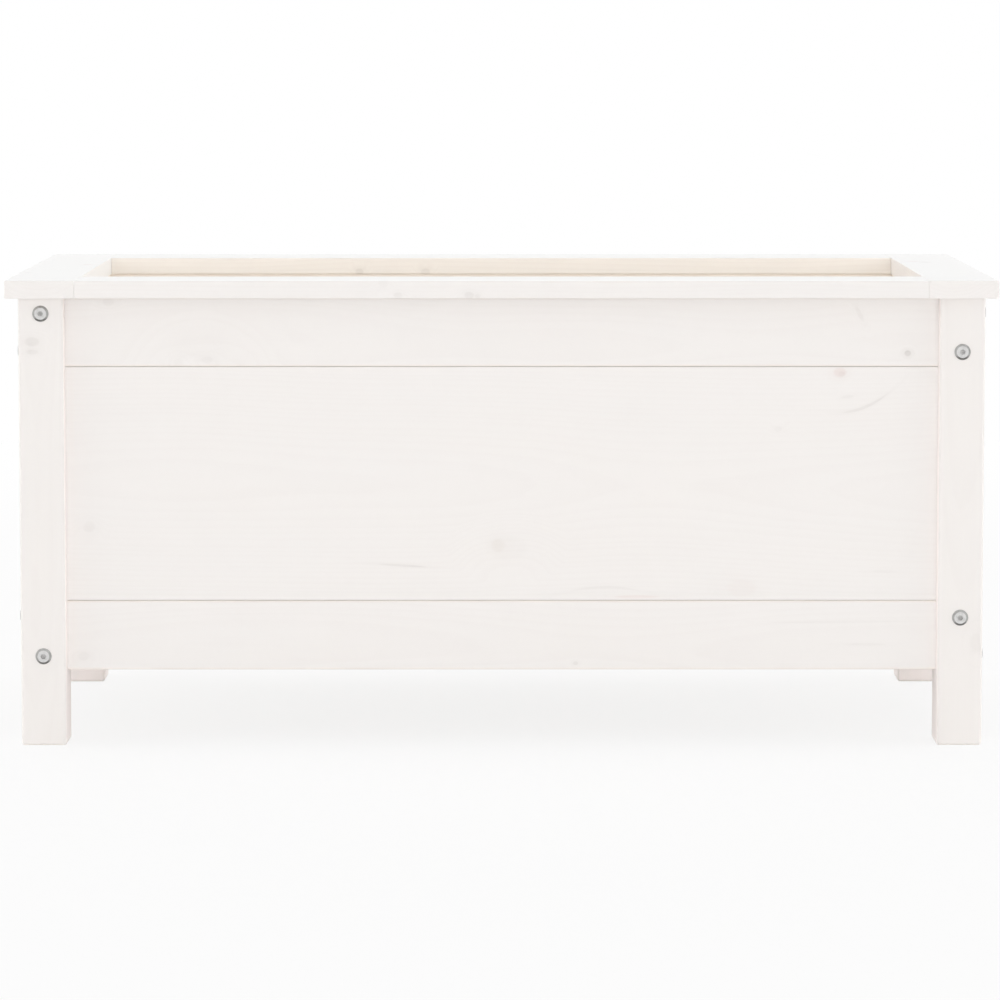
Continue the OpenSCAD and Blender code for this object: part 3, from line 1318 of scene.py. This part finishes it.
@dataclass(frozen=True)
class Walls:
    """Four walls, each a panel tongued into two rails.

    Attributes:
        joinery: The bolts, nuts and dowels in the rails' ends.
        timber: Their finish; the inside faces show more bare pine, partly thin stain and partly
        painted warm bounce light, and take the brighter inside coat, painted light.
        rounding: Radius of the boards' long edges.
        tongue: Thickness of a panel's tongue.
        tongue_reach: How far it stands out.
        groove: Thickness of a groove.
    """

    joinery: Joinery
    # Painted light: the inside faces take the brighter inside coat.
    timber: Timber = Timber(finish=StainedPine(edge_wear=0.1), cover=Cover(inside=0.90))
    rounding: float = 0.85 * MM
    tongue: float = 6 * MM
    tongue_reach: float = 6 * MM
    groove: float = 6.4 * MM

    def build(self) -> None:
        """Makes the rails and panels of all four walls."""
        for side in Side:
            for row in Row:
                self.rail(side, row)
            self.panel(side)

    def rail(self, side: Side, row: Row) -> None:
        """Makes a rail with its groove and its bores.

        Args:
            side: Its wall.
            row: Which rail of the wall it is.
        """
        node = f"{side.label}_{row.value}"
        low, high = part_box(node)
        piece = Workpiece.block(f"{node}_board", low, high)
        piece.ease_edges(along_grain(side.run), self.rounding, 3)
        piece.cut(self.groove_tool(side, row, low, high))
        joinery = self.joinery
        for end in End:
            bolt = joinery.bolt_place(side, row, end)
            piece.drill(bolt, joinery.bolt, joinery.layout.leg - MM, joinery.bolt_length + MM)
            piece.drill(joinery.nut_place(side, row, end), joinery.nut, -MM, joinery.nut_depth)
            dowel = joinery.dowel_place(side, row, end)
            piece.drill(dowel, joinery.dowel, -MM, joinery.dowel_in_rail)
        self.timber.dress(piece, node, facing(-side.outward, 0.5))

    def groove_tool(self, side: Side, row: Row, low: Vector, high: Vector) -> Workpiece:
        """Makes a block that cuts the panel's groove right through a rail's inner edge.

        Args:
            side: The rail's wall.
            row: Which rail it is.
            low: The rail's lowest corner.
            high: Its highest corner.

        Returns:
            The block.
        """
        panel_low, panel_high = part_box(f"{side.label}_panel")
        spread = side.thickness * (self.groove / 2) + side.run * ((high - low).dot(side.run) / 2 + MM)
        start = (low + high) / 2 - spread
        end = (low + high) / 2 + spread
        if row is Row.BOTTOM:
            start.z, end.z = panel_low.z, high.z + MM
        else:
            start.z, end.z = low.z - MM, panel_high.z + MM
        return Workpiece.block("groove", start, end)

    def panel(self, side: Side) -> None:
        """Makes a panel: a board whose top and bottom edges are drawn out into tongues.

        Args:
            side: Its wall.
        """
        node = f"{side.label}_panel"
        low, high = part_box(node)
        middle = (low + high) / 2
        reach = UP * self.tongue_reach
        piece = Workpiece.block(f"{node}_board", low + reach, high - reach)
        piece.ease_edges(along_grain(side.run), self.rounding, 3)
        with piece.editing():
            for step in (-self.tongue / 2, self.tongue / 2):
                piece.slice(middle + side.thickness * step, side.thickness)
            for way in (DOWN, UP):
                edge = middle + way * ((high.z - low.z) / 2 - self.tongue_reach)

                def strip(spot: Vector, normal: Vector) -> bool:
                    """Whether a face is the middle strip of the panel's top or bottom edge."""
                    near = abs((spot - edge).dot(side.thickness)) < self.tongue / 4
                    return near and abs(spot.z - edge.z) < TINY and normal.dot(way) > 0.9

                piece.pull(strip, way * self.tongue_reach)
        self.timber.dress(piece, node, facing(-side.outward, 0.5))


@dataclass(frozen=True)
class Rim:
    """Four flat boards butted and dowelled round the top.

    Attributes:
        joinery: The dowels in the rim's joints.
        timber: Their finish; the top and the inner edges take the whiter lit coat, painted light and
            sheen on the top and painted light on the left board's inner edge.
        right_timber: The finish of the right board, whose inner edge is darker and
            warmer than the left's: painted shade.
        back_timber: The finish of the back board, whose inner edge shows more bare
            pine and takes the brighter inside coat: painted light and warm bounce light, partly thin stain.
        rounding: Radius of their edges.
        butt_rounding: Radius of the edges where the boards butt.
    """

    joinery: Joinery
    # Painted light: these covers give the rim's top and the left inner edge the whiter lit coat, the right
    # inner edge painted shade, and the back inner edge the brighter inside coat.
    timber: Timber = Timber(cover=Cover(top=1.0, inside=1.0, ends=0.945))
    right_timber: Timber = Timber(cover=Cover(top=1.0, inside=0.935, ends=0.945))
    back_timber: Timber = Timber(cover=Cover(top=1.0, inside=0.89))
    rounding: float = 1.2 * MM
    butt_rounding: float = 0.4 * MM

    def build(self) -> None:
        """Makes the four boards."""
        for side in Side:
            self.board(side)

    def board(self, side: Side) -> None:
        """Makes one board with its dowel holes.

        Args:
            side: The wall that it lies on.
        """
        node = f"rim_{side.label}"
        low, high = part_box(node)
        piece = Workpiece.block(f"{node}_board", low, high)
        if side.is_long:
            end = high.x - 0.01 * MM
            piece.ease_edges(along_grain(side.run), self.rounding, 4)
            piece.ease_edges(lambda middle, direction: abs(middle.x) > end, self.butt_rounding, 2)
        else:
            inner = abs(side.outward.dot(low + high)) / 2
            piece.ease_edges(lambda middle, direction: abs(middle.x) > inner, self.rounding, 4)
            piece.ease_edges(lambda middle, direction: abs(middle.x) < inner, self.butt_rounding, 2)
        depth = self.joinery.rim_dowel_depth
        reach = (-MM, depth) if side.is_long else (-depth - MM, MM)
        for place in self.joinery.rim_dowel_places():
            if self.touches(place.translation, low, high):
                piece.drill(place, self.joinery.rim_dowel, *reach)
        timber = {Side.BACK: self.back_timber, Side.RIGHT: self.right_timber}.get(side, self.timber)
        timber.dress(piece, node, facing(-side.outward, 0.5))

    def touches(self, spot: Vector, low: Vector, high: Vector) -> bool:
        """Whether a place lies in or on a board."""
        return all(low[axis] - MM < spot[axis] < high[axis] + MM for axis in range(3))


@dataclass(frozen=True)
class Floor:
    """Slats, which rest on battens.

    Attributes:
        layout: The trough's main places.
        timber: Their finish.
        rounding: Radius of the slats' long edges.
        play: Room between the notched slats and the legs.
        screw: Radius of the screws' holes.
        screw_head: Radius of the screws' heads.
        screw_sink: Depth of a head's cone.
        sink_rise: How far the countersink's cone stands over the slat's face.
    """

    layout: Layout
    # Painted light: at this low cover the slats take the brighter inside coat, over more bare pine.
    timber: Timber = Timber(cover=Cover(outside=0.8, top=0.8, ends=0.7), slot="inner_pine")
    rounding: float = 1 * MM
    play: float = 1 * MM
    screw: float = 1.85 * MM
    screw_head: float = 3.5 * MM
    screw_sink: float = 1.75 * MM
    sink_rise: float = 0.02 * MM

    def slats(self) -> list[str]:
        """The slats' nodes, from left to right."""
        names = [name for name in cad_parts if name.startswith("floor_slat_")]
        return sorted(names, key=lambda name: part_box(name)[0].x)

    def screw_places(self, node: str) -> list[Matrix]:
        """Finds where a slat's screws go in.

        Args:
            node: The slat.

        Returns:
            Frames on top of it over the battens, with Z up.
        """
        low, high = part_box(node)
        rest_low, rest_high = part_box("batten_back")
        y = (rest_low.y + rest_high.y) / 2
        return [shifted((low.x + high.x) / 2, way * y, high.z) for way in (-1, 1)]

    def build(self) -> None:
        """Makes the slats."""
        for node in self.slats():
            self.slat(node)

    def slat(self, node: str) -> None:
        """Makes one slat, with countersunk holes, and notches where it meets the legs.

        Args:
            node: The node that it stands for.
        """
        low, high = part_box(node)
        piece = Workpiece.block(f"{node}_board", low, high)
        piece.ease_edges(along_grain(Vector((0, 1, 0))), self.rounding, 3)
        for place in self.screw_places(node):
            piece.drill(place, self.screw, low.z - high.z - 3 * MM, MM)
            sink = Workpiece.rod("sink", self.screw, -self.screw_sink, 0.0, 24, self.screw_head)
            piece.cut(sink.moved(place @ shifted(0, 0, self.sink_rise)))
        inner_x = self.layout.half_width - self.layout.leg - self.play
        for way in (-1, 1):
            if max(way * low.x, way * high.x) > inner_x:
                self.notch(piece, way * inner_x, low.z - MM, high.z + MM)
        self.timber.dress(piece, node, lambda middle, normal: False)

    def notch(self, piece: Workpiece, x: float, bottom: float, top: float) -> None:
        """Cuts both corners of a slat away where legs stand.

        Args:
            piece: The slat.
            x: Where the notches start, from which they reach outwards.
            bottom: Height where they start.
            top: Height where they end.
        """
        inner_y = self.layout.half_depth - self.layout.leg - self.play
        beyond = 100 * MM
        left, right = sorted((x, x + math.copysign(beyond, x)))
        for front, back in ((-inner_y - beyond, -inner_y), (inner_y, inner_y + beyond)):
            piece.cut(Workpiece.block("notch", Vector((left, front, bottom)), Vector((right, back, top))))


@dataclass(frozen=True)
class Fasteners:
    """Bolts, barrel nuts and screws, all zinc plated.

    Attributes:
        joinery: The places of the bolts and nuts.
        floor: The floor, for its screws.
        slot: A material slot's name, which is handed on to dress.
        head: Radius of a bolt's head.
        face: Radius of its flat face.
        head_height: Height of the head.
        head_edge: Height of its straight edge.
        head_rounding: Radius of its edges.
        shank: Radius of a bolt's shank.
        hexagon: Radius across the corners of its socket.
        hexagon_depth: Depth of the socket.
        drill_point: Radius of the drilled point at its bottom.
        drill_depth: Depth of that point.
        socket_shine: How bright the socket's walls are: painted shade in the recess.
        shank_shine: How clean the shank is.
        nut: Radius of a barrel nut.
        nut_length: Length of a barrel nut.
        nut_slot: Width of the slot that turns it.
        nut_rounding: Radius of its edges.
        nut_play: Room round the bolt in it.
        nut_shine: How clean it is.
        screw: Radius of a screw's shank.
        screw_length: Length of a screw.
        screw_tip: Length of its point.
        screw_set: How far its head sits below the slat's face.
        screw_shine: How bright it is below the top of its head.
        cross: Width of the cross in its head.
        cross_reach: Half the cross's length.
        cross_depth: Depth of the cross.
    """

    joinery: Joinery
    floor: Floor
    slot: str = "zinc"
    head: float = 6.7 * MM
    face: float = 4.9 * MM
    head_height: float = 1.8 * MM
    head_edge: float = 0.5 * MM
    head_rounding: float = 0.12 * MM
    shank: float = 3 * MM
    hexagon: float = 2.31 * MM
    hexagon_depth: float = 2.6 * MM
    drill_point: float = 1.1 * MM
    drill_depth: float = 0.5 * MM
    # Painted shade: the socket's walls are darker than the head's face.
    socket_shine: float = 0.72
    shank_shine: float = 0.6
    nut: float = 5 * MM
    nut_length: float = 12 * MM
    nut_slot: float = 1.2 * MM
    nut_rounding: float = 0.4 * MM
    nut_play: float = 0.05 * MM
    nut_shine: float = 0.8
    screw: float = 1.75 * MM
    screw_length: float = 26 * MM
    screw_tip: float = 3 * MM
    screw_set: float = 0.05 * MM
    screw_shine: float = 0.4
    cross: float = 0.9 * MM
    cross_reach: float = 2 * MM
    cross_depth: float = 1.2 * MM

    def build(self) -> None:
        """Makes all fasteners."""
        plate = Zinc().make("zinc_plate")
        self.bolts().dress(plate, self.slot, "connector_bolts")
        self.nuts().dress(plate, self.slot, "barrel_nuts")
        self.slat_screws().dress(plate, self.slot, "slat_screws")

    def ends(self) -> list[tuple[Side, Row, End]]:
        """All sixteen rail ends."""
        return [(side, row, end) for side in Side for row in Row for end in End]

    def bolts(self) -> Workpiece:
        """Models one bolt and puts it in all sixteen places, each turned by its own angle.

        Returns:
            The bolts as one group.
        """
        piece = Workpiece.rod("bolt", self.head, -self.head_edge, 0.0, 64)
        bevel = DOWN * (self.head_height - self.head_edge)
        bottom = self.hexagon_depth - self.head_height

        def in_socket(middle: Vector, normal: Vector) -> bool:
            """Whether a face is the socket's bottom."""
            return normal.z < -0.9 and abs(middle.z - bottom) < TINY

        with piece.editing():
            piece.pull(facing(DOWN), bevel, self.face / self.head)
            piece.inset(facing(UP), self.head - self.shank)
            piece.pull(
                lambda middle, normal: normal.z > 0.9 and middle.xy.length < MM,
                UP * self.joinery.bolt_length,
            )
        piece.cut(Workpiece.rod("socket", self.hexagon, -self.head_height - MM, bottom, 6))
        with piece.editing():
            piece.inset(in_socket, self.hexagon - self.drill_point)
            piece.pull(
                lambda middle, normal: in_socket(middle, normal) and middle.xy.length < TINY,
                UP * self.drill_depth,
                0.4,
            )
        piece.ease_edges(lambda middle, direction: middle.z < -TINY, self.head_rounding, 2)
        piece.smooth(30)
        piece.paint(FACE_SHINE, self.shine)
        chance = random.Random("bolts")
        places = [self.joinery.bolt_place(*end) @ turned(chance.uniform(0, 180), "Z") for end in self.ends()]
        group = piece.repeated("connector_bolts_zinc", places)
        # Painted reflection: the bevels' lower parts stay dark and their upper parts lighten.
        group.repaint(FACE_SHINE, self.grime)
        return group

    def shine(self, middle: Vector, normal: Vector) -> float:
        """Says how bright a face of a bolt is, as painted reflection and shade.

        It is bright on the flat face, a painted dark reflection on the bevel, painted shade in the
        socket, and a painted reflection at the socket's bottom.

        Args:
            middle: The face's middle, on a bolt with its head below Z = 0.
            normal: Its normal.

        Returns:
            The shine, 0 to 1.
        """
        off = middle.xy.length
        # Painted shade in the socket, a painted reflection at its bottom, and a painted dark reflection on
        # the bevel.
        if off < self.hexagon and middle.z < 2 * MM:
            return 1.0 if off < self.drill_point * 0.8 else self.socket_shine
        if middle.z > -TINY:
            return self.shank_shine
        return 1.0 if normal.z < -0.9 else 0.0

    def grime(self, shine: float, normal: Vector) -> float:
        """Painted reflection: keeps the lower part of a bolt's bevel dark and lightens the rest."""
        return shine if shine > 0.05 else min(max((normal.z + 0.5) * 2.5, 0.0), 0.5)

    def nuts(self) -> Workpiece:
        """Models one slotted barrel nut and puts it in all sixteen bores.

        Returns:
            The nuts as one group.
        """
        start = self.joinery.nut_depth - self.nut_length
        piece = Workpiece.rod("nut", self.nut, start, start + self.nut_length)
        piece.ease_edges(lambda middle, direction: abs(direction.z) < 0.5, self.nut_rounding, 2)
        beyond = self.nut + self.shank
        across = shifted(0, 0, start + self.nut_length / 2) @ turned(90, "Y")
        piece.drill(across, self.shank + self.nut_play, -beyond, beyond)
        low = Vector((-beyond, -self.nut_slot / 2, start - MM))
        piece.cut(Workpiece.block("slot", low, Vector((beyond, self.nut_slot / 2, start + self.nut_slot))))
        piece.smooth(30)
        piece.paint(FACE_SHINE, lambda middle, normal: self.nut_shine)
        return piece.repeated("barrel_nuts_zinc", [self.joinery.nut_place(*end) for end in self.ends()])

    def screw_cleanness(self, middle: Vector, normal: Vector) -> float:
        """How bright a face of a screw is: full on top of its head, duller below it."""
        return 1.0 if normal.z > 0.9 and middle.z > -TINY else self.screw_shine

    def slat_screws(self) -> Workpiece:
        """Models one flat-headed screw and puts it in every slat.

        Returns:
            The screws as one group.
        """
        sink = self.floor.screw_sink
        piece = Workpiece.rod("screw", self.screw, -sink, 0.0, 24, self.floor.screw_head)
        with piece.editing():
            piece.pull(facing(DOWN), DOWN * (self.screw_length - sink - self.screw_tip))
            piece.pull(facing(DOWN), DOWN * self.screw_tip, 0.1)
        for angle in (0, 90):
            low = Vector((-self.cross_reach, -self.cross / 2, -self.cross_depth))
            slot = Workpiece.block("cross", low, Vector((self.cross_reach, self.cross / 2, MM)))
            piece.cut(slot.moved(turned(angle, "Z")))
        piece.smooth(30)
        piece.paint(FACE_SHINE, self.screw_cleanness)
        chance = random.Random("slat screws")
        seat = shifted(0, 0, -self.screw_set)
        places = [
            place @ seat @ turned(chance.uniform(0, 180), "Z")
            for node in self.floor.slats()
            for place in self.floor.screw_places(node)
        ]
        return piece.repeated("slat_screws_zinc", places)


@dataclass(frozen=True)
class CarriedOver:
    """Nodes whose own meshes stay and only get a finish.

    Attributes:
        dowels: Nodes of turned wood.
        screws: Nodes of plated steel.
        screw_shine: How clean these screws are.
        timber: The battens' finish.
        rim_cover: How much the stain hides on the battens under the rim.
        floor_cover: How much it hides on the floor's battens.
    """

    dowels: tuple[str, ...] = ("rail_dowels", "rim_dowels")
    screws: tuple[str, ...] = ("rim_batten_screws", "batten_screws")
    screw_shine: float = 0.7
    timber: StainedPine = StainedPine()
    # Painted light: at these covers the battens take the brighter inside coat, over more bare pine.
    rim_cover: float = 0.78
    floor_cover: float = 0.8

    def build(self) -> None:
        """Gives each node its finish."""
        beech = Beech().make("turned_beech")
        steel = Zinc().make("zinc_screws", self.screw_shine)
        for name in self.dowels:
            self.finish(name, beech)
        for name in self.screws:
            self.finish(name, steel)
        for side in Side:
            self.batten(f"rim_batten_{side.label}", self.rim_cover)
            self.batten(f"batten_{side.label}", self.floor_cover)

    def batten(self, name: str, cover: float) -> None:
        """Stains one batten as far as a cover says."""
        board = BoardFrame.of(name)
        self.finish(name, self.timber.make(name, board, chance_marks(name, board), cover))

    def finish(self, name: str, material: bpy.types.Material) -> None:
        """Gives one node a material.

        Args:
            name: The node.
            material: Its finish.
        """
        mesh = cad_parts[name].data
        mesh.materials.clear()
        mesh.materials.append(material)
        LOG.info("%s: finished as packed", name)


# --- Studio ---


@dataclass(frozen=True)
class Camera:
    """The camera that took the photo, as fitted to the trough's corners.

    Attributes:
        place: Where it stands.
        dip: How far it looks down, in radians.
        turn: How far it looks to the right, in radians.
        lens: Focal length in millimetres.
        sensor: Width of the sensor in millimetres.
        shift: Vertical shift, as a share of the frame.
        sight: How far it sees.
    """

    place: tuple[float, float, float] = (-0.0048, -3.5716, 0.604)
    dip: float = 0.0824
    turn: float = 0.0010
    lens: float = 147.0
    sensor: float = 36.0
    shift: float = -0.14
    sight: float = 50.0

    def build(self) -> None:
        """Adds the camera and makes it the scene's."""
        data = bpy.data.cameras.new("camera")
        data.sensor_width = self.sensor
        data.lens = self.lens
        data.shift_y = self.shift
        data.clip_end = self.sight
        camera = bpy.data.objects.new("camera", data)
        camera.location = self.place
        camera.rotation_euler = (math.pi / 2 - self.dip, 0.0, -self.turn)
        bpy.context.scene.collection.objects.link(camera)
        bpy.context.scene.camera = camera
        LOG.info("camera: %.0f mm lens", self.lens)


@dataclass(frozen=True)
class Studio:
    """A pale floor, and a white surround with a soft screen on each side.

    Attributes:
        sky: Strength of the surround as light.
        front: Strength of the low screen in front.
        left: Strength of the screen on the left.
        right: Strength of the screen on the right.
        back: Strength of the screen behind.
        front_turn: How far a ray points back where the front screen sets in and where it is full.
        front_low: How far it points up where the screen's lower edge sets in and is full.
        front_high: The same for the screen's upper edge.
        side_turn: How far it points sideways or back where the other screens set in and are full.
        horizon: How far it points up where their lower edge sets in and is full.
        floor_size: Side of the floor.
        white: How much of the floor is lit paper, near the trough.
        fade: Distances between which the rest of it turns to lit paper.
        paper: The two shades of the floor.
    """

    sky: float = 0.69
    front: float = 8.3
    left: float = 2.1
    right: float = 2.2
    back: float = 1.2
    front_turn: tuple[float, float] = (-0.93, -0.975)
    front_low: tuple[float, float] = (0.02, 0.04)
    front_high: tuple[float, float] = (0.17, 0.13)
    side_turn: tuple[float, float] = (0.75, 0.9)
    horizon: tuple[float, float] = (-0.02, 0.06)
    floor_size: float = 30.0
    white: float = 0.8
    fade: tuple[float, float] = (0.9, 2.4)
    paper: tuple[Colour, Colour] = (seen(246, 246, 246), seen(249, 249, 249))

    def build(self) -> None:
        """Sets up the surround and the floor."""
        bpy.context.scene.view_settings.view_transform = "Standard"
        self.surround()
        self.floor()

    def surround(self) -> None:
        """Lights the scene from all round, and shows white to the camera and in gloss."""
        world = bpy.data.worlds.new("surround")
        world.use_nodes = True
        bpy.context.scene.world = world
        sheet = NodeSheet(world.node_tree)
        x, y, z = sheet.parts(sheet.add("ShaderNodeTexCoord").outputs["Generated"])
        direct = self.shown_white(sheet)
        strength = (1 - direct) * (self.screens(x, y, z) + self.sky) + direct
        light = sheet.add("ShaderNodeBackground", None, {"Color": WHITE, "Strength": strength})
        sheet.add("ShaderNodeOutputWorld", None, {"Surface": light.outputs[0]})

    def screens(self, x: Signal, y: Signal, z: Signal) -> Signal:
        """Lights a low strip in front, and a taller screen on each of the other sides.

        Args:
            x: How far a ray points to the right.
            y: How far it points to the back.
            z: How far it points up.

        Returns:
            The strength of the screen that the ray meets.
        """
        start, end = self.side_turn
        standing = z.ease(*self.horizon)
        front = y.ease(*self.front_turn) * z.ease(*self.front_low) * z.ease(*self.front_high)
        left = x.ease(-start, -end) * standing
        right = x.ease(start, end) * standing
        back = y.ease(start, end) * standing
        return front * self.front + left * self.left + right * self.right + back * self.back

    def shown_white(self, sheet: NodeSheet) -> Signal:
        """Finds the rays that show the surround as white.

        Args:
            sheet: The sheet to find them on.

        Returns:
            1 for rays from the camera, in gloss and through glass.
        """
        rays = sheet.add("ShaderNodeLightPath")
        camera, glossy, clear = (
            Signal(sheet, rays.outputs[name])
            for name in ("Is Camera Ray", "Is Glossy Ray", "Is Transmission Ray")
        )
        return (camera + glossy + clear).most(1.0)

    def floor(self) -> None:
        """Lays a pale floor that keeps the trough's shadow and fades into the surround."""
        Workpiece.deselect()
        bpy.ops.mesh.primitive_plane_add(size=self.floor_size)
        floor = bpy.context.active_object
        floor.name = "studio_floor"
        material, sheet = fresh_material("pale_floor")
        x, y, z = sheet.place()
        away = (x * x + y * y).root().ease(*self.fade)
        grain = sheet.noise(x * 60, y * 60, z, 3.0)
        matt = sheet.add("ShaderNodeBsdfDiffuse", None, {"Color": sheet.blend(grain, *self.paper)})
        lit = sheet.add("ShaderNodeEmission", None, {"Color": WHITE, "Strength": 1.0})
        share = (away * (1 - self.white) + self.white) * self.shown_white(sheet)
        mixed = sheet.add("ShaderNodeMixShader", None, {0: share, 1: matt.outputs[0], 2: lit.outputs[0]})
        sheet.add("ShaderNodeOutputMaterial", None, {"Surface": mixed.outputs[0]})
        floor.data.materials.append(material)


def main() -> None:
    """Builds the studio and the trough, piece by piece."""
    logging.basicConfig(level=logging.INFO, format="%(name)s %(message)s")
    Camera().build()
    Studio().build()
    layout = Layout.read()
    joinery = Joinery(layout)
    floor = Floor(layout)
    Legs(joinery).build()
    Walls(joinery).build()
    Rim(joinery).build()
    floor.build()
    Fasteners(joinery, floor).build()
    CarriedOver().build()


if __name__ == "__main__":
    main()
